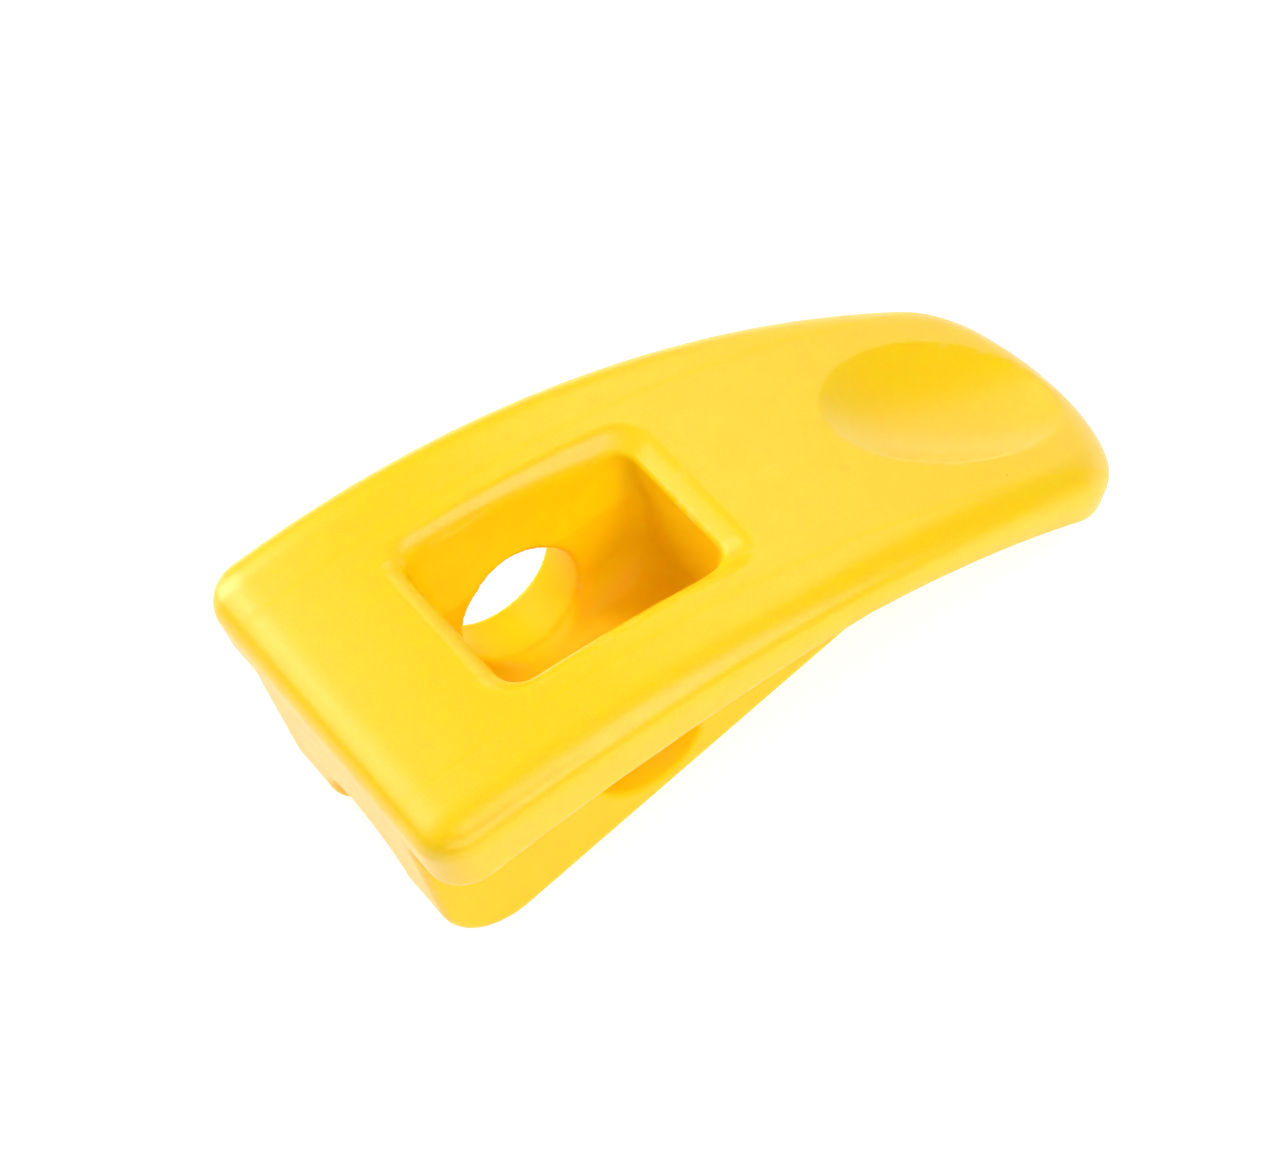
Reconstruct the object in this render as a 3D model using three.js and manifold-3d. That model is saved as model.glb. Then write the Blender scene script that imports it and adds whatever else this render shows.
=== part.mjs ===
// A one-piece moulded plastic thumb lever. Millimetres, +Z up, standing on its heel and the
// edge of its tip. X runs from the heel end to the tip, Y across, and the origin is the middle
// of the footprint.
import * as THREE from 'three';
import { mergeVertices } from 'three/addons/utils/BufferGeometryUtils.js';
import Module from 'manifold-3d';

const wasm = await Module();
wasm.setup();

// ---------------------------------------------------------------- driving dimensions
// Side view, as x along the lever from the heel end and z up.
const LENGTH = 80;
const TOP_RADIUS = 113.8;
const TOP_CENTRE = { x: 14.9, z: -88.4 };
const TIP_UNDERSIDE = { x: 22, z: -67.5, radius: 87.8 };
const HEEL_UNDERSIDE = { x: 20.8, z: -106.5, radius: 126 };
const END_LEAN = THREE.MathUtils.degToRad(7.7);
const PLATE_LENGTH = 86;

// Plan of the plate, laid out flat: s along the curved top, y across.
const PLATE_HALF_WIDTH = 20.3;
const WIDEST_AT = 8.2;
const SIDE_RADIUS = 450;
const TIP_RADIUS = 22;
const TIP_CORNER_RADIUS = 10;
const END_CORNER_RADIUS = 4.2;
const TOP_EDGE_RADIUS = 2.8;
const LIP_RADIUS = 0.5;

// Body under the plate.
const BODY_HALF_WIDTH = 12.8;
const HEEL_RADIUS = 6.6;
const HEEL_CENTRE = { x: 8.25, z: 6.6 };
const END_FACE_LEAN = THREE.MathUtils.degToRad(5.9);
const FLAT_RISE = THREE.MathUtils.degToRad(12.7);
const FLAT_END_X = 61;
const END_FACE_TOP_Z = 21.3;
const BODY_TOP_DEPTH = 1.5;
const BODY_TOP_START_X = 5;
const BODY_EDGE_RADIUS = 0.85;

// Pivot bore, across the body.
const BORE_RADIUS = 6.25;
const BORE_CENTRE = { x: 24.7, z: 11.85 };

// Pocket from the top, with a chamfered mouth and a floor that follows the flat underneath.
const MOUTH = { left: 13.7, right: 41.2, half: 10.5, corner: 3.2 };
const THROAT = { left: 15.1, right: 38.9, half: 9.2, corner: 2.2 };
const WAIST = { left: 15.45, right: 38.55, half: 7.2, corner: 2.2 };
const FOOT = { left: 16.1, right: 38.1, half: 7.2, corner: 2.2 };
const CHAMFER_DEPTH = 1;
const WAIST_Z = 17;
const FLOOR_THICKNESS = 2;
const FLOOR_FILLET = 2.8;

// Arched groove under the heel, and the thumb dimple near the tip.
const GROOVE_HALF_WIDTH = 6.25;
const GROOVE_ARCH_Z = 10.85;
const GROOVE_END_X = 12.4;
const DIMPLE = { s: 70, halfLength: 12.9, halfWidth: 8.8, depth: 2.2 };

// ---------------------------------------------------------------- points and solids
// A point of the plate laid flat, at s along the top, y across and depth below the top face.
function bend(s, y, depth) {
  const angle = s / TOP_RADIUS - END_LEAN;
  const radius = TOP_RADIUS - depth;
  return new THREE.Vector3(
    TOP_CENTRE.x + radius * Math.sin(angle), y, TOP_CENTRE.z + radius * Math.cos(angle));
}

// How far an arc of the plate's underside lies below the top face at s.
function depthOf(underside, s) {
  const angle = s / TOP_RADIUS - END_LEAN;
  const dx = underside.x - TOP_CENTRE.x;
  const dz = underside.z - TOP_CENTRE.z;
  const along = dx * Math.sin(angle) + dz * Math.cos(angle);
  const across = dx * Math.cos(angle) - dz * Math.sin(angle);
  return TOP_RADIUS - along - Math.sqrt(underside.radius ** 2 - across ** 2);
}

// The plate's underside is two arcs that cross, and it follows the lower one.
function plateThickness(s) {
  return Math.max(depthOf(TIP_UNDERSIDE, s), depthOf(HEEL_UNDERSIDE, s));
}

// Height of the top face at x, lowered by depth.
function topZ(x, depth) {
  return TOP_CENTRE.z + Math.sqrt((TOP_RADIUS - depth) ** 2 - (x - TOP_CENTRE.x) ** 2);
}

// Height of the flat under the body at x, raised by a thickness measured square to it.
function flatZ(x, thickness) {
  const startX = HEEL_CENTRE.x + HEEL_RADIUS * Math.sin(FLAT_RISE);
  const startZ = HEEL_CENTRE.z - HEEL_RADIUS * Math.cos(FLAT_RISE);
  return startZ + (x - startX) * Math.tan(FLAT_RISE) + thickness / Math.cos(FLAT_RISE);
}

function solidOf(geometry) {
  const bare = geometry.clone();
  bare.deleteAttribute('normal');
  bare.deleteAttribute('uv');
  const merged = mergeVertices(bare, 1e-4);
  return new wasm.Manifold(new wasm.Mesh({
    numProp: 3,
    vertProperties: Float32Array.from(merged.attributes.position.array),
    triVerts: Uint32Array.from(merged.index.array),
  }));
}

function geometryOf(solid) {
  const mesh = solid.getMesh();
  const geometry = new THREE.BufferGeometry();
  geometry.setAttribute('position', new THREE.BufferAttribute(mesh.vertProperties, 3));
  geometry.setIndex(new THREE.BufferAttribute(mesh.triVerts, 1));
  geometry.computeVertexNormals();
  return geometry;
}

// A closed skin over half rings that are mirrored across y = 0. Rings run from the lowest to
// the highest, and each holds the same number of points on the -y side, from the heel end on.
function loft(halfRings) {
  const half = halfRings[0].length;
  const count = 2 * half;
  const positions = [];
  for (const ring of halfRings) {
    const mirrored = ring.map((p) => new THREE.Vector3(p.x, -p.y, p.z)).reverse();
    for (const p of [...ring, ...mirrored]) {
      positions.push(p.x, p.y, p.z);
    }
  }
  const index = [];
  for (let r = 0; r < halfRings.length - 1; r++) {
    for (let i = 0; i < count; i++) {
      const a = r * count + i;
      const b = r * count + (i + 1) % count;
      index.push(a, b, b + count, a, b + count, a + count);
    }
  }
  const top = (halfRings.length - 1) * count;
  for (let i = 0; i < half - 1; i++) {
    const j = count - 1 - i;
    index.push(i, j, j - 1, i, j - 1, i + 1);
    index.push(top + i, top + i + 1, top + j - 1, top + i, top + j - 1, top + j);
  }
  const geometry = new THREE.BufferGeometry();
  geometry.setAttribute('position', new THREE.Float32BufferAttribute(positions, 3));
  geometry.setIndex(index);
  return geometry;
}

// Points of an arc, from one angle to another.
function arc(cx, cy, radius, from, to, steps) {
  const points = [];
  for (let i = 0; i <= steps; i++) {
    const angle = from + (to - from) * i / steps;
    points.push(new THREE.Vector2(cx + radius * Math.cos(angle), cy + radius * Math.sin(angle)));
  }
  return points;
}

// ---------------------------------------------------------------- the plate
// Half of the plan outline, drawn in by inset: end corner, side, tip corner and tip.
function plateOutline(inset) {
  const sideY = SIDE_RADIUS - PLATE_HALF_WIDTH;
  const tipS = PLATE_LENGTH - TIP_RADIUS;
  // The tip corner's centre is where its own parallels to the side arc and the tip arc cross.
  const toSide = SIDE_RADIUS - TIP_CORNER_RADIUS;
  const toTip = TIP_RADIUS - TIP_CORNER_RADIUS;
  const gap = Math.hypot(tipS - WIDEST_AT, sideY);
  const along = (toSide ** 2 - toTip ** 2 + gap ** 2) / (2 * gap);
  const off = Math.sqrt(toSide ** 2 - along ** 2);
  const us = (tipS - WIDEST_AT) / gap;
  const uy = -sideY / gap;
  const cornerS = WIDEST_AT + along * us - off * uy;
  const cornerY = sideY + along * uy + off * us;
  const sideEnd = Math.atan2(cornerY - sideY, cornerS - WIDEST_AT);
  const tipStart = Math.atan2(cornerY, cornerS - tipS);
  const sideStart = -Math.PI / 2 - Math.asin((WIDEST_AT - END_CORNER_RADIUS) / SIDE_RADIUS);
  const endY = -(PLATE_HALF_WIDTH - END_CORNER_RADIUS);
  return [
    ...arc(END_CORNER_RADIUS, endY, END_CORNER_RADIUS - inset, Math.PI, 1.5 * Math.PI, 7),
    ...arc(WIDEST_AT, sideY, SIDE_RADIUS - inset, sideStart, sideEnd, 26).slice(1),
    ...arc(cornerS, cornerY, TIP_CORNER_RADIUS - inset, sideEnd, tipStart, 7).slice(1),
    ...arc(tipS, 0, TIP_RADIUS - inset, tipStart, -0.02, 8).slice(1),
  ];
}

function plate() {
  const rings = [];
  const place = (inset, depthAt) => {
    rings.push(plateOutline(inset).map((p) => bend(p.x, p.y, depthAt(p.x))));
  };
  place(LIP_RADIUS, plateThickness);
  place(0, (s) => plateThickness(s) - LIP_RADIUS);
  const edgeSteps = 7;
  for (let i = 0; i <= edgeSteps; i++) {
    const turn = i / edgeSteps * Math.PI / 2;
    const depth = TOP_EDGE_RADIUS * (1 - Math.sin(turn));
    place(TOP_EDGE_RADIUS * (1 - Math.cos(turn)), () => depth);
  }
  return solidOf(loft(rings));
}

// ---------------------------------------------------------------- the body
function body() {
  const flatStart = -Math.PI / 2 + FLAT_RISE;
  const endFace = -Math.PI + END_FACE_LEAN;
  const topRadius = TOP_RADIUS - BODY_TOP_DEPTH;
  const topStart = Math.PI / 2 - Math.asin((FLAT_END_X - TOP_CENTRE.x) / topRadius);
  const topEnd = Math.PI / 2 + Math.asin((TOP_CENTRE.x - BODY_TOP_START_X) / topRadius);
  const endFaceTopX = HEEL_CENTRE.x - HEEL_RADIUS / Math.cos(END_FACE_LEAN)
    - (END_FACE_TOP_Z - HEEL_CENTRE.z) * Math.tan(END_FACE_LEAN);
  const profile = new THREE.Shape();
  profile.absarc(HEEL_CENTRE.x, HEEL_CENTRE.z, HEEL_RADIUS, endFace, flatStart, false);
  profile.lineTo(FLAT_END_X, flatZ(FLAT_END_X, 0));
  profile.absarc(TOP_CENTRE.x, TOP_CENTRE.z, topRadius, topStart, topEnd, false);
  profile.lineTo(endFaceTopX, END_FACE_TOP_Z);
  profile.closePath();
  const geometry = new THREE.ExtrudeGeometry(profile, {
    depth: 2 * (BODY_HALF_WIDTH - BODY_EDGE_RADIUS), curveSegments: 20, bevelSegments: 4,
    bevelThickness: BODY_EDGE_RADIUS, bevelSize: BODY_EDGE_RADIUS, bevelOffset: -BODY_EDGE_RADIUS,
  });
  geometry.rotateX(Math.PI / 2);
  geometry.translate(0, BODY_HALF_WIDTH - BODY_EDGE_RADIUS, 0);
  return solidOf(geometry);
}

// ---------------------------------------------------------------- what is taken away
// Half of a rounded rectangle, as points at x with the height that heightAt gives there.
function pocketRing(size, inset, heightAt) {
  const radius = size.corner - inset * 0.5;
  const left = size.left + inset;
  const right = size.right - inset;
  const y = -(size.half - inset);
  const side = [];
  const sideSteps = 9;
  for (let i = 1; i < sideSteps; i++) {
    side.push(new THREE.Vector2(left + radius + (right - left - 2 * radius) * i / sideSteps, y));
  }
  const outline = [
    ...arc(left + radius, y + radius, radius, Math.PI, 1.5 * Math.PI, 5),
    ...side,
    ...arc(right - radius, y + radius, radius, -Math.PI / 2, 0, 5),
  ];
  return outline.map((p) => new THREE.Vector3(p.x, p.y, heightAt(p.x)));
}

function pocket() {
  const floor = (x) => flatZ(x, FLOOR_THICKNESS);
  const rings = [];
  const filletSteps = 4;
  for (let i = 0; i <= filletSteps; i++) {
    const turn = i / filletSteps * Math.PI / 2;
    const rise = FLOOR_FILLET * (1 - Math.cos(turn));
    rings.push(pocketRing(FOOT, FLOOR_FILLET * (1 - Math.sin(turn)), (x) => floor(x) + rise));
  }
  rings.push(pocketRing(WAIST, 0, () => WAIST_Z));
  rings.push(pocketRing(THROAT, 0, (x) => topZ(x, CHAMFER_DEPTH)));
  rings.push(pocketRing(MOUTH, 0, (x) => topZ(x, 0)));
  rings.push(pocketRing(MOUTH, 0, (x) => topZ(x, -1)));
  return solidOf(loft(rings));
}

function bore() {
  const geometry = new THREE.CylinderGeometry(BORE_RADIUS, BORE_RADIUS, 4 * BODY_HALF_WIDTH, 48);
  geometry.translate(BORE_CENTRE.x, 0, BORE_CENTRE.z);
  return solidOf(geometry);
}

function groove() {
  const archRadius = GROOVE_HALF_WIDTH;
  const section = new THREE.Shape();
  section.absarc(0, GROOVE_ARCH_Z - archRadius, archRadius, 0, Math.PI, false);
  section.lineTo(-archRadius, -1);
  section.lineTo(archRadius, -1);
  section.closePath();
  const outside = 2;
  const geometry = new THREE.ExtrudeGeometry(section, {
    depth: GROOVE_END_X + outside, bevelEnabled: false, curveSegments: 20,
  });
  // The section's x becomes y, its y becomes z, and it is drawn out along x.
  geometry.applyMatrix4(new THREE.Matrix4().makeBasis(
    new THREE.Vector3(0, 1, 0), new THREE.Vector3(0, 0, 1), new THREE.Vector3(1, 0, 0)));
  geometry.translate(-outside, 0, 0);
  return solidOf(geometry);
}

// The cap of an ellipsoid that leaves the dimple's outline on the top face.
function dimple() {
  const reach = 5;
  const bowl = DIMPLE.depth * reach;
  const spread = 1 / Math.sqrt(1 - (1 - 1 / reach) ** 2);
  const geometry = new THREE.SphereGeometry(1, 56, 36);
  geometry.scale(DIMPLE.halfLength * spread, DIMPLE.halfWidth * spread, bowl);
  geometry.translate(0, 0, bowl - DIMPLE.depth);
  const middle = bend(DIMPLE.s, 0, 0);
  geometry.rotateY(DIMPLE.s / TOP_RADIUS - END_LEAN);
  geometry.translate(middle.x, middle.y, middle.z);
  return solidOf(geometry);
}

// ---------------------------------------------------------------- the lever
function lever() {
  const material = new THREE.MeshStandardMaterial({ color: 0xffcf1a, roughness: 0.5, metalness: 0 });
  const solid = plate().add(body()).subtract(pocket()).subtract(bore())
    .subtract(groove()).subtract(dimple());
  const mesh = new THREE.Mesh(geometryOf(solid), material);
  mesh.name = 'lever_moulding';
  mesh.position.x = -LENGTH / 2;
  return mesh;
}

const part = new THREE.Group();
part.add(lever());

export default part;
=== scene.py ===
"""A yellow moulded thumb lever on a white table, in soft studio light.

The lever is one solid, described by distances: each function below takes points in millimetres,
x along the lever from its heel end, y across and z up from the table, and returns how far they
lie outside that shape, negative inside.
"""

import math

import bpy
import numpy as np
from mathutils import Matrix, Vector

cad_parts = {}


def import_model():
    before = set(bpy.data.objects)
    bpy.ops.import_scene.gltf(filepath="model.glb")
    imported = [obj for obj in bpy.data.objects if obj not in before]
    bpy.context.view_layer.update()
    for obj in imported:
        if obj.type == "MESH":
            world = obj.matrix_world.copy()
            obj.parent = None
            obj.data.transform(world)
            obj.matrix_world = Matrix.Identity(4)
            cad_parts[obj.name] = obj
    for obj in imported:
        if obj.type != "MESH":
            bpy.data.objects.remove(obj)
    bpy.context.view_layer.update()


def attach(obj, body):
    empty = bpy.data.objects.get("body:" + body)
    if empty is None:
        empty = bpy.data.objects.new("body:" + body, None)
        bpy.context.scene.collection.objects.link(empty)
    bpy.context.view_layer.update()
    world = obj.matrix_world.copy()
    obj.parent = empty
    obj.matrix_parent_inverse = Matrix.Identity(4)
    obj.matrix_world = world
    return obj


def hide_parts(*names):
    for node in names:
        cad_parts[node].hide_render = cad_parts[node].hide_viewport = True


# Side view
TOP_RADIUS, TOP_X, TOP_Z = 113.8, 14.9, -88.4
TIP_UNDER_RADIUS, TIP_UNDER_X, TIP_UNDER_Z = 87.8, 22.0, -67.5
HEEL_UNDER_RADIUS, HEEL_UNDER_X, HEEL_UNDER_Z = 126.0, 20.8, -106.5
END_LEAN = math.radians(7.7)
PLATE_LENGTH = 86.0

# Plan of the plate, laid out flat
PLATE_HALF_WIDTH, WIDEST_AT, SIDE_RADIUS = 20.3, 8.2, 450.0
TIP_RADIUS, TIP_CORNER_RADIUS, END_CORNER_RADIUS = 22.0, 10.0, 4.2
TOP_EDGE_REACH, TOP_EDGE_DROP, LIP_RADIUS = 4.2, 2.8, 0.5

# Body under the plate
BODY_HALF_WIDTH, BODY_EDGE_RADIUS, BODY_TOP_DEPTH = 12.8, 0.85, 3.0
HEEL_RADIUS, HEEL_X = 6.6, 8.25
FACE_LEAN, FLAT_RISE = math.radians(5.9), math.radians(12.7)
JOIN_RADIUS, JOIN_FADE = 0.8, 5.0

# Bore, pocket, groove and dimple
BORE_RADIUS, BORE_X, BORE_Z, BORE_STEP = 6.25, 24.7, 11.85, 0.12
MOUTH_LEFT, MOUTH_RIGHT, MOUTH_HALF, MOUTH_CORNER = 13.7, 41.2, 10.5, 3.2
THROAT_LEFT, THROAT_RIGHT, THROAT_HALF, CORNER = 15.1, 38.9, 9.2, 2.2
WAIST_HALF, WAIST_Z, THROAT_Z = 7.2, 17.0, 24.0
CHAMFER_DEPTH, CHAMFER_SLOPE = 1.05, 0.7
WALL_DRAFT, FLOOR_THICKNESS, FLOOR_FILLET = 0.05, 2.0, 2.8
GROOVE_RADIUS, GROOVE_Z, GROOVE_END = 6.25, 4.6, 12.4
GROOVE_EDGE, GROOVE_END_EDGE = 0.4, 1.0
DIMPLE_AT, DIMPLE_LENGTH, DIMPLE_WIDTH = 70.0, 25.8, 17.6
DIMPLE_DEPTH, DIMPLE_EDGE = 2.2, 0.15
CRISP_EDGE = 0.4

# Where to look for the lever, and the middle of its footprint, which is the frame's origin
SEARCH_LOW, SEARCH_HIGH = (-0.5, -20.5, 0.0), (80.5, 20.5, 25.5)
MIDDLE = np.array([40.0, 0.0, 0.0])

# Finish: linear colours; sizes in millimetres, but the grain's height and the scatter radius in
# metres; and marks, each its place along the top, place across, radius and strength
YELLOW, YELLOW_VARIED = (0.99, 0.635, 0.0, 1), (0.99, 0.615, 0.0, 1)
YELLOW_GRAIN = (0.99, 0.66, 0.025, 1)
YELLOW_RUBBED, STAIN = (1.0, 0.7, 0.12, 1), (0.6, 0.3, 0.0, 1)
ROUGHNESS, ROUGHNESS_SPREAD, ROUGHER_INSIDE = 0.32, 0.03, 0.13
SHINE, SHINE_INSIDE, INDEX = 0.5, 0.1, 1.5
GRAIN_HEIGHT, GRAIN_INSIDE, GRAIN_ON_CHEEKS = 0.000009, 0.12, 0.6
CLOUD_SIZE, SPECK_SIZE, LUMP_SIZE, SCRATCH_SIZE = 2.5, 0.2, 0.5, 1.2
TRANSLUCENCY, SCATTER_RADIUS = 0.5, (0.0022, 0.0007, 0.0001)
MARKS = ((54.8, -4.7, 0.6, 0.12), (68.6, -11.4, 0.09, 0.8), (78.6, -14.0, 0.07, 0.5))

# Soft square lights a metre from the lever: azimuth, elevation and power in watts
LIGHTS = {
    "behind": (195, 38, 4.5),
    "behind_low": (206, 16, 3.3),
    "behind_left": (225, 38, 1.5),
    "behind_right": (135, 38, 0.9),
    "behind_right_low": (129, 16, 0.5),
    "overhead": (0, 80, 1.3),
    "front_high": (45, 60, 2.1),
    "right": (45, 38, 1.9),
    "front_right": (15, 38, 1.9),
    "front_left": (345, 38, 1.35),
    "front_low": (350, 15, 0.35),
    "left": (315, 38, 1.1),
}
LIGHT_SIZE, LIGHT_DISTANCE = 0.42, 1.0
FLOOR_GREY, FLOOR_ROUGHNESS, FLOOR_GLOW = 0.6, 0.9, (0.55, 0.55, 0.68, 1)

# Camera: its aim and distance in millimetres, then its direction, roll and lens
AIM, DISTANCE = Vector((-5.5, 2.2, 12.0)), 442.2
AZIMUTH, ELEVATION, ROLL = math.radians(-23.91), math.radians(51.4), math.radians(-14.12)
LENS = 137.0

GRID_STEP = 0.36
MM = 0.001


def rounded_and(a, b, radius):
    """What is in both shapes, with the edge between them rounded."""
    corner = np.hypot(np.maximum(a + radius, 0), np.maximum(b + radius, 0))
    return np.minimum(np.maximum(a, b), -radius) + corner


def oval_and(a, b, reach_a, reach_b, power=2.4):
    """What is in both shapes, with the edge between them an oval that leaves each side softly."""
    past_a, past_b = np.maximum(a / reach_a + 1, 0), np.maximum(b / reach_b + 1, 0)
    near = np.maximum(past_a**power + past_b**power, 1e-9) ** (1 / power)
    lean_a, lean_b = (past_a / near) ** (power - 1), (past_b / near) ** (power - 1)
    steep = np.hypot(lean_a / reach_a, lean_b / reach_b)
    edge = (near - 1) / np.maximum(steep, 1e-9)
    return np.where((past_a > 0) & (past_b > 0), edge, np.maximum(a, b))


def rounded_or(a, b, radius):
    """What is in either shape, with the inner corner between them filled."""
    return -rounded_and(-a, -b, radius)


def rounded_box(x, y, half_x, half_y, corner):
    """A rectangle about 0, with round corners."""
    past_x = np.abs(x) - half_x + corner
    past_y = np.abs(y) - half_y + corner
    outside = np.hypot(np.maximum(past_x, 0), np.maximum(past_y, 0))
    return np.minimum(np.maximum(past_x, past_y), 0) + outside - corner


def ellipsoid(x, y, z, half_x, half_y, half_z):
    """An ellipsoid about 0."""
    near = np.sqrt((x / half_x) ** 2 + (y / half_y) ** 2 + (z / half_z) ** 2)
    steep = np.sqrt((x / half_x**2) ** 2 + (y / half_y**2) ** 2 + (z / half_z**2) ** 2)
    return near * (near - 1) / np.maximum(steep, 1e-9)


def along_plate(x, z):
    """How far round the curved top a point is from the heel end, and how deep below the top."""
    dx, dz = x - TOP_X, z - TOP_Z
    return TOP_RADIUS * (np.arctan2(dx, dz) + END_LEAN), TOP_RADIUS - np.hypot(dx, dz)


def above_flat(x, z):
    """Height above the flat under the body, square to it."""
    past_heel, up = x - HEEL_X, z - HEEL_RADIUS
    return up * math.cos(FLAT_RISE) - past_heel * math.sin(FLAT_RISE) + HEEL_RADIUS


def tip_corner():
    """Centre of the arc that joins the plate's side arc to its tip arc, in the plan."""
    gap_s, gap_y = PLATE_LENGTH - TIP_RADIUS - WIDEST_AT, SIDE_RADIUS - PLATE_HALF_WIDTH
    gap = math.hypot(gap_s, gap_y)
    to_side, to_tip = SIDE_RADIUS - TIP_CORNER_RADIUS, TIP_RADIUS - TIP_CORNER_RADIUS
    along = (to_side**2 - to_tip**2 + gap**2) / (2 * gap)
    off = math.sqrt(to_side**2 - along**2)
    s = WIDEST_AT + (along * gap_s + off * gap_y) / gap
    return s, (along * gap_y - off * gap_s) / gap - gap_y


def plan(s, y):
    """The plate laid flat: a straight heel end, long side arcs, and a blunt round tip."""
    y = np.abs(y)
    corner_s, corner_y = tip_corner()
    side_y, tip_s = PLATE_HALF_WIDTH - SIDE_RADIUS, PLATE_LENGTH - TIP_RADIUS
    side = np.hypot(s - WIDEST_AT, y - side_y) - SIDE_RADIUS
    corner = np.hypot(s - corner_s, y - corner_y) - TIP_CORNER_RADIUS
    tip = np.hypot(s - tip_s, y) - TIP_RADIUS
    past_side = (s - corner_s) * (corner_y - side_y) > (y - corner_y) * (corner_s - WIDEST_AT)
    at_tip = (s - tip_s) * corner_y > y * (corner_s - tip_s)
    front = np.where(past_side, np.where(at_tip, tip, corner), side)
    return rounded_and(front, -s, END_CORNER_RADIUS)


def plate(x, y, z):
    """The curved plate with its dimple, from the top face down to the two-arc underside."""
    s, depth = along_plate(x, z)
    outline = plan(s, y)
    top = rounded_and(-depth, -dimple(s, y, depth), DIMPLE_EDGE)
    under = np.minimum(
        TIP_UNDER_RADIUS - np.hypot(x - TIP_UNDER_X, z - TIP_UNDER_Z),
        HEEL_UNDER_RADIUS - np.hypot(x - HEEL_UNDER_X, z - HEEL_UNDER_Z),
    )
    upper = oval_and(top, outline, TOP_EDGE_DROP, TOP_EDGE_REACH)
    return rounded_and(upper, under, LIP_RADIUS)


def dimple(s, y, depth):
    """The thumb dimple: the bottom of an ellipsoid whose rim on the top face is an ellipse."""
    bowl = 5 * DIMPLE_DEPTH
    spread = 1 / math.sqrt(1 - (1 - DIMPLE_DEPTH / bowl) ** 2)
    half_length, half_width = spread * DIMPLE_LENGTH / 2, spread * DIMPLE_WIDTH / 2
    return ellipsoid(s - DIMPLE_AT, y, depth - DIMPLE_DEPTH + bowl, half_length, half_width, bowl)


def body(x, y, z):
    """The body: a face at the heel end and a flat below, joined by the round heel."""
    past, up = x - HEEL_X, z - HEEL_RADIUS
    end = -past * math.cos(FACE_LEAN) - up * math.sin(FACE_LEAN) - HEEL_RADIUS
    beyond_face = past * math.sin(FACE_LEAN) > up * math.cos(FACE_LEAN)
    beyond_flat = -past * math.cos(FLAT_RISE) > up * math.sin(FLAT_RISE)
    round_heel = np.hypot(past, up) - HEEL_RADIUS
    profile = np.where(
        beyond_face & beyond_flat, round_heel, np.maximum(end, -above_flat(x, z))
    )
    cheeks = rounded_and(profile, np.abs(y) - BODY_HALF_WIDTH, BODY_EDGE_RADIUS)
    return np.maximum(cheeks, BODY_TOP_DEPTH - along_plate(x, z)[1])


def well(x, y, z):
    """The pocket below its chamfer: straight low walls, flared above the bore."""
    rise = np.clip((z - WAIST_Z) / (THROAT_Z - WAIST_Z), 0, 1.5)
    half_y = WAIST_HALF + (THROAT_HALF - WAIST_HALF) * rise
    inward = WALL_DRAFT * (THROAT_Z - z)
    middle, half_x = (THROAT_LEFT + THROAT_RIGHT) / 2, (THROAT_RIGHT - THROAT_LEFT) / 2
    walls = rounded_box(x - middle, y, half_x - inward, half_y, CORNER)
    return rounded_and(walls, FLOOR_THICKNESS - above_flat(x, z), FLOOR_FILLET)


def chamfer(x, y, z):
    """The chamfer at the pocket's mouth, which follows the curved top."""
    share = along_plate(x, z)[1] / CHAMFER_DEPTH
    left = MOUTH_LEFT + (THROAT_LEFT - MOUTH_LEFT) * share
    right = MOUTH_RIGHT + (THROAT_RIGHT - MOUTH_RIGHT) * share
    half_y = MOUTH_HALF + (THROAT_HALF - MOUTH_HALF) * share
    level = rounded_box(x - (left + right) / 2, y, (right - left) / 2, half_y, MOUTH_CORNER)
    return CHAMFER_SLOPE * level


def bore(x, y, z):
    """The cross bore, a hair wider where it runs through the pocket."""
    through = np.hypot(x - BORE_X, z - BORE_Z) - BORE_RADIUS
    return np.minimum(through, np.maximum(through - BORE_STEP, np.abs(y) - WAIST_HALF))


def groove(x, y, z):
    """The arched groove under the heel, open below and at the heel end."""
    arch = np.hypot(y, np.maximum(z - GROOVE_Z, 0)) - GROOVE_RADIUS
    return rounded_and(arch, x - GROOVE_END, GROOVE_END_EDGE)


def lever(x, y, z):
    """The whole piece. The inner corner of plate and body sharpens toward the heel end."""
    join = JOIN_RADIUS * np.clip(x / JOIN_FADE, 0.01, 1)
    solid = rounded_or(plate(x, y, z), body(x, y, z), join)
    pocket = rounded_or(well(x, y, z), chamfer(x, y, z), CRISP_EDGE)
    solid = rounded_and(solid, -pocket, CRISP_EDGE)
    solid = rounded_and(solid, -bore(x, y, z), CRISP_EDGE)
    return rounded_and(solid, -groove(x, y, z), GROOVE_EDGE)


# ------------------------------------------------------------------ from distances to a mesh
def slope(shape, points):
    """The direction and rate at which a shape's distance grows at each point."""
    step = 0.01
    columns = []
    for axis in np.eye(3) * step:
        ahead, behind = shape(*(points + axis).T), shape(*(points - axis).T)
        columns.append((ahead - behind) / (2 * step))
    return np.stack(columns, axis=1)


def onto_surface(shape, points, rounds=3):
    """Each point steps along its slope until it lies on the surface."""
    for _ in range(rounds):
        steepness = slope(shape, points)
        square = np.maximum((steepness**2).sum(axis=1), 0.05)
        points = points - steepness * (shape(*points.T) / square)[:, None]
    return points


def spread_evenly(points, quads):
    """Each point moves to the middle of its neighbours."""
    ends = np.concatenate([quads, np.roll(quads, 1, axis=1)]).ravel()
    others = np.concatenate([np.roll(quads, 1, axis=1), quads]).ravel()
    count = np.bincount(ends, minlength=len(points))
    sums = [np.bincount(ends, points[others, k], len(points)) for k in range(3)]
    return np.stack(sums, axis=1) / count[:, None]


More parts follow.
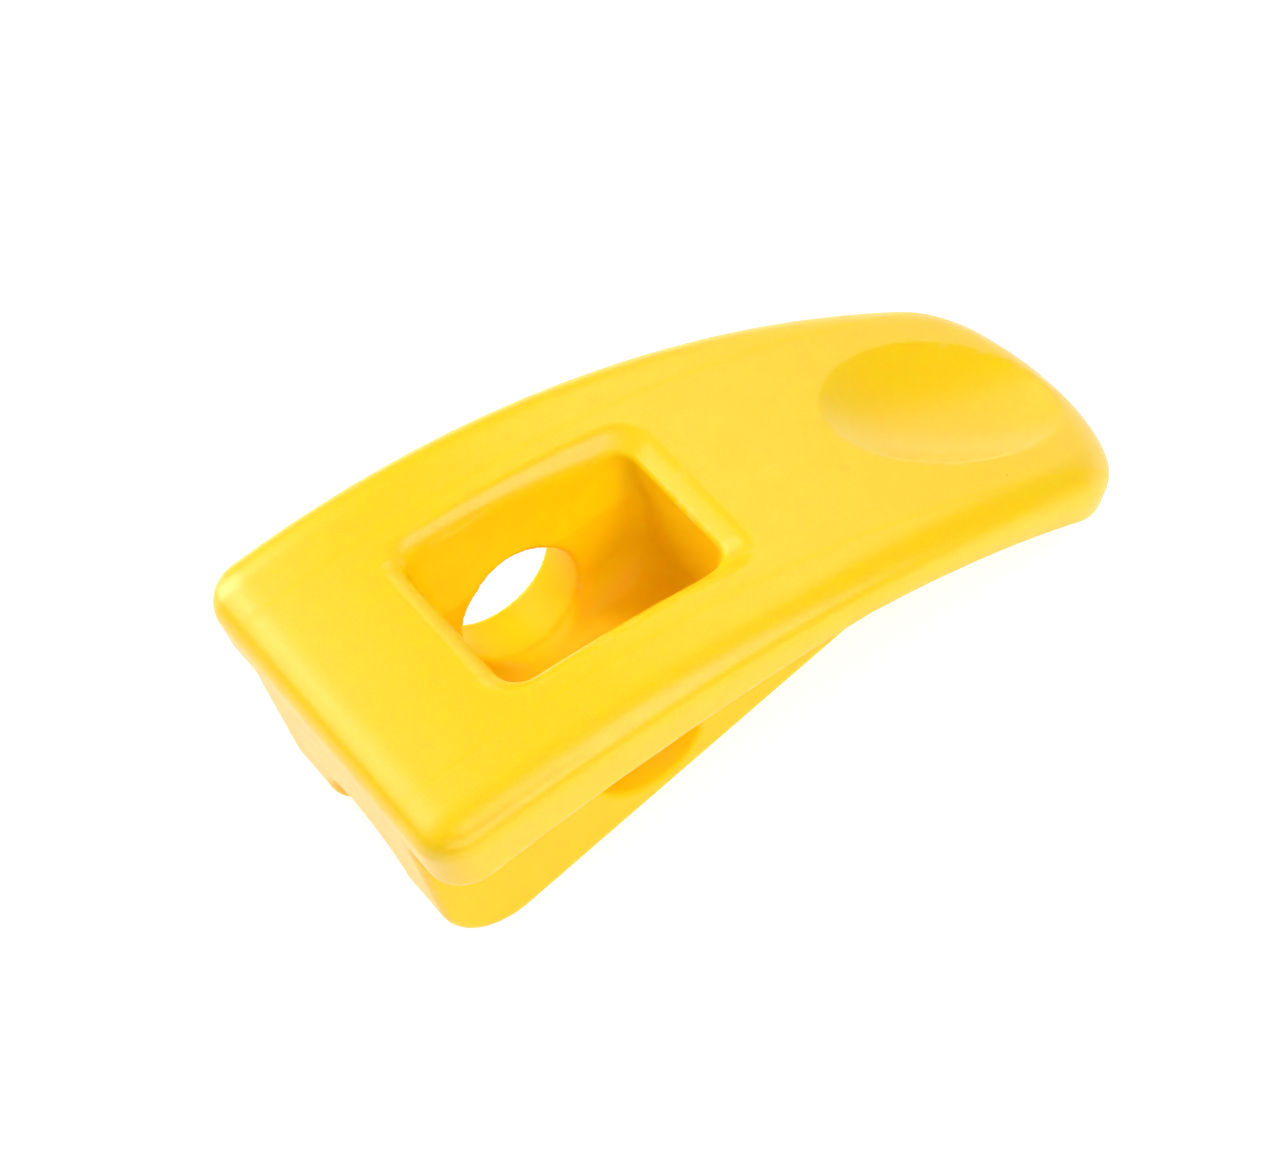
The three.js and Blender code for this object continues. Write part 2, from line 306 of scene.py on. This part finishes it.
def grid_quads(inside, cell_number):
    """One quad round every grid edge that crosses the surface, facing outward."""
    quads = []
    for axis in range(3):
        low = np.moveaxis(inside, axis, 0)[:-1, 1:-1, 1:-1]
        high = np.moveaxis(inside, axis, 0)[1:, 1:-1, 1:-1]
        number = np.moveaxis(cell_number, axis, 0)
        around = [number[:, :-1, :-1], number[:, 1:, :-1], number[:, 1:, 1:], number[:, :-1, 1:]]
        if axis == 1:
            around.reverse()
        for crossing, order in ((low & ~high, 1), (high & ~low, -1)):
            quads.append(np.stack([corner[crossing] for corner in around][::order], axis=1))
    return np.concatenate(quads)


def mesh_of(shape, low, high, step):
    """The shape's surface as even quads: a grid finds it, then its points settle onto it."""
    axes = [np.arange(a - 1.5 * step, b + 2 * step, step) for a, b in zip(low, high)]
    inside = shape(*np.meshgrid(*axes, indexing="ij")) < 0
    corners = [
        inside[i : i - 1 or None, j : j - 1 or None, k : k - 1 or None]
        for i in (0, 1) for j in (0, 1) for k in (0, 1)
    ]
    filled = sum(corner.astype(np.int8) for corner in corners)
    crossed = (filled > 0) & (filled < 8)
    cell_number = np.full(crossed.shape, -1)
    cell_number[crossed] = np.arange(crossed.sum())
    cells = np.argwhere(crossed)
    points = np.stack([axes[k][cells[:, k]] + step / 2 for k in range(3)], axis=1)
    quads = grid_quads(inside, cell_number)
    for _ in range(4):
        points = onto_surface(shape, spread_evenly(points, quads))
    return points, quads


def sharpness(shape, points):
    """How sharply the surface turns outward at each point: 0 when flat, 1 at a crisp edge."""
    reach, gentle, crisp = 0.6, 0.3, 1.5
    offsets = np.concatenate([np.eye(3), -np.eye(3)]) * reach
    around = sum(shape(*(points + offset).T) for offset in offsets)
    return np.clip((around / reach**2 - gentle) / (crisp - gentle), 0, 1)


def graininess(points):
    """How strongly the mould was textured: less on the cheeks, hardly in the pocket and bore."""
    x, y, z = points.T
    off_cheek = np.clip(3 * np.abs(np.abs(y) - BODY_HALF_WIDTH), 0, 1)
    outside = GRAIN_ON_CHEEKS + (1 - GRAIN_ON_CHEEKS) * off_cheek
    out_of_hole = np.clip(2 * np.minimum(well(x, y, z), bore(x, y, z)), 0, 1)
    return GRAIN_INSIDE + (1 - GRAIN_INSIDE) * outside * out_of_hole


def add_attribute(mesh, name, values):
    attribute = mesh.attributes.new(name, "FLOAT", "POINT")
    attribute.data.foreach_set("value", values.astype(np.float32))


def add_lever():
    points, quads = mesh_of(lever, SEARCH_LOW, SEARCH_HIGH, GRID_STEP)
    mesh = bpy.data.meshes.new("lever")
    mesh.from_pydata((points - MIDDLE) * MM, [], quads)
    mesh.shade_smooth()
    add_attribute(mesh, "edge", sharpness(lever, points))
    add_attribute(mesh, "grain", graininess(points))
    mesh.materials.append(yellow_plastic())
    piece = bpy.data.objects.new("lever", mesh)
    bpy.context.scene.collection.objects.link(piece)
    return piece


# ------------------------------------------------------------------ material
class Nodes:
    """Short ways to add and join a material's nodes. A socket or a number feeds each input."""

    def __init__(self, name):
        self.material = bpy.data.materials.new(name)
        self.material.use_nodes = True
        self.tree = self.material.node_tree
        self.shader = self.tree.nodes["Principled BSDF"]

    def feed(self, socket, value):
        if isinstance(value, bpy.types.NodeSocket):
            self.tree.links.new(value, socket)
        else:
            socket.default_value = value

    def add(self, kind, inputs, output=0, **settings):
        node = self.tree.nodes.new(kind)
        for key, value in settings.items():
            setattr(node, key, value)
        for key, value in inputs.items():
            self.feed(node.inputs[key], value)
        return node.outputs[output]

    def math(self, operation, a, b=0.0):
        return self.add("ShaderNodeMath", {0: a, 1: b}, operation=operation)

    def ramp(self, value, low, high, to_low=0.0, to_high=1.0):
        """A value, moved from one range to another and held at its ends."""
        inputs = {"Value": value, 1: low, 2: high, 3: to_low, 4: to_high}
        return self.add("ShaderNodeMapRange", inputs)

    def mix(self, share, a, b):
        node = self.tree.nodes.new("ShaderNodeMix")
        node.data_type = "RGBA"
        self.feed(node.inputs[0], share)
        self.feed(node.inputs[6], a)
        self.feed(node.inputs[7], b)
        return node.outputs[2]

    def noise(self, size, detail=2.0, stretch=(1, 1, 1)):
        """Noise with features of about that size in millimetres."""
        place = self.add("ShaderNodeTexCoord", {}, output="Object")
        place = self.add("ShaderNodeMapping", {"Vector": place, "Scale": stretch})
        inputs = {"Vector": place, "Scale": 1 / (size * MM), "Detail": detail}
        return self.add("ShaderNodeTexNoise", inputs)

    def attribute(self, name):
        return self.add("ShaderNodeAttribute", {}, output="Fac", attribute_name=name)

    def near(self, point, radius):
        """1 within that distance of a point, in millimetres, and soft at the rim."""
        place = self.add("ShaderNodeTexCoord", {}, output="Object")
        centre = [value * MM for value in point]
        away = self.add(
            "ShaderNodeVectorMath", {0: place, 1: centre}, output="Value", operation="DISTANCE"
        )
        return self.ramp(away, 0.6 * radius * MM, 1.2 * radius * MM, 1.0, 0.0)


def on_top(s, y):
    """The point of the curved top at that distance from the heel end, from the frame's origin."""
    angle = s / TOP_RADIUS - END_LEAN
    x, z = TOP_X + TOP_RADIUS * math.sin(angle), TOP_Z + TOP_RADIUS * math.cos(angle)
    return x - MIDDLE[0], y, z


def yellow_plastic():
    """Satin yellow plastic from a finely textured mould, a little rubbed along its edges."""
    n = Nodes("yellow_plastic")
    edge, grain = n.attribute("edge"), n.attribute("grain")
    cloud, specks = n.noise(CLOUD_SIZE, detail=4), n.noise(SPECK_SIZE, detail=3)
    scratches = n.ramp(n.noise(SCRATCH_SIZE, detail=5, stretch=(0.35, 1, 1)), 0.56, 0.7)
    rubbed = n.math("MULTIPLY", n.math("MULTIPLY", edge, scratches), 0.5)

    yellow = n.mix(n.ramp(cloud, 0.35, 0.65), YELLOW, YELLOW_VARIED)
    pale = n.math("MULTIPLY", n.ramp(specks, 0.45, 0.75), grain)
    yellow = n.mix(pale, yellow, YELLOW_GRAIN)
    yellow = n.mix(rubbed, yellow, YELLOW_RUBBED)
    for s, y, radius, strength in MARKS:
        mark = n.math("MULTIPLY", n.near(on_top(s, y), radius), strength)
        yellow = n.mix(mark, yellow, STAIN)
    n.feed(n.shader.inputs["Base Color"], yellow)

    low, high = ROUGHNESS - ROUGHNESS_SPREAD, ROUGHNESS + ROUGHNESS_SPREAD
    rough = n.ramp(cloud, 0.3, 0.7, low, high)
    rough = n.math("ADD", rough, n.ramp(grain, 0.1, 1.0, ROUGHER_INSIDE, 0.0))
    rough = n.math("ADD", rough, n.math("MULTIPLY", rubbed, 0.2))
    n.feed(n.shader.inputs["Roughness"], rough)

    lumps = n.math("MULTIPLY", n.noise(LUMP_SIZE, detail=2), 0.8)
    height = n.math("ADD", specks, lumps)
    bump = n.add("ShaderNodeBump", {"Height": height, "Strength": grain, "Distance": GRAIN_HEIGHT})
    n.feed(n.shader.inputs["Normal"], bump)

    shine = n.ramp(grain, 0.5, 1.0, SHINE_INSIDE, SHINE)
    n.feed(n.shader.inputs["Specular IOR Level"], shine)
    n.shader.inputs["IOR"].default_value = INDEX
    n.shader.inputs["Subsurface Weight"].default_value = TRANSLUCENCY
    n.shader.inputs["Subsurface Radius"].default_value = SCATTER_RADIUS
    n.shader.inputs["Subsurface Scale"].default_value = 1.0
    return n.material


# ------------------------------------------------------------------ set, light and camera
def add_floor():
    """A pale matt floor that glows a little, so that it stays white."""
    bpy.ops.mesh.primitive_plane_add(size=4)
    floor = bpy.context.object
    floor.name = "floor"
    material = bpy.data.materials.new("floor_white")
    material.use_nodes = True
    shader = material.node_tree.nodes["Principled BSDF"]
    shader.inputs["Base Color"].default_value = (FLOOR_GREY, FLOOR_GREY, FLOOR_GREY, 1)
    shader.inputs["Roughness"].default_value = FLOOR_ROUGHNESS
    shader.inputs["Emission Color"].default_value = FLOOR_GLOW
    shader.inputs["Emission Strength"].default_value = 1.0
    floor.data.materials.append(material)


def add_light(name, azimuth, elevation, power):
    """A square soft light, aimed at the lever from that direction."""
    a, e = math.radians(azimuth), math.radians(elevation)
    away = Vector((math.sin(a) * math.cos(e), -math.cos(a) * math.cos(e), math.sin(e)))
    light = bpy.data.lights.new(name, "AREA")
    light.size = LIGHT_SIZE
    light.energy = power
    lamp = bpy.data.objects.new(name, light)
    lamp.location = away * LIGHT_DISTANCE
    lamp.rotation_mode = "QUATERNION"
    lamp.rotation_quaternion = away.to_track_quat("Z", "Y")
    bpy.context.scene.collection.objects.link(lamp)


def add_lights():
    """A dark room with soft lights all round, the brightest behind the lever."""
    world = bpy.data.worlds.new("studio")
    world.use_nodes = True
    world.node_tree.nodes["Background"].inputs["Color"].default_value = (0, 0, 0, 1)
    bpy.context.scene.world = world
    for name, (azimuth, elevation, power) in LIGHTS.items():
        add_light(name, azimuth, elevation, power)
    bpy.context.scene.view_settings.view_transform = "Standard"


def add_camera():
    """A long lens from above the near side, turned a little about its own axis."""
    back = Vector((
        math.sin(AZIMUTH) * math.cos(ELEVATION),
        -math.cos(AZIMUTH) * math.cos(ELEVATION),
        math.sin(ELEVATION),
    ))
    level = back.to_track_quat("Z", "Y").to_matrix()
    data = bpy.data.cameras.new("camera")
    data.lens = LENS
    data.clip_start = 0.01
    camera = bpy.data.objects.new("camera", data)
    turned = level @ Matrix.Rotation(ROLL, 3, "Z")
    camera.matrix_world = Matrix.Translation(AIM * MM + back * DISTANCE * MM) @ turned.to_4x4()
    bpy.context.scene.collection.objects.link(camera)
    bpy.context.scene.camera = camera


def main():
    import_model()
    piece = add_lever()
    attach(piece, "root")
    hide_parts("lever_moulding")
    add_floor()
    add_lights()
    add_camera()


main()
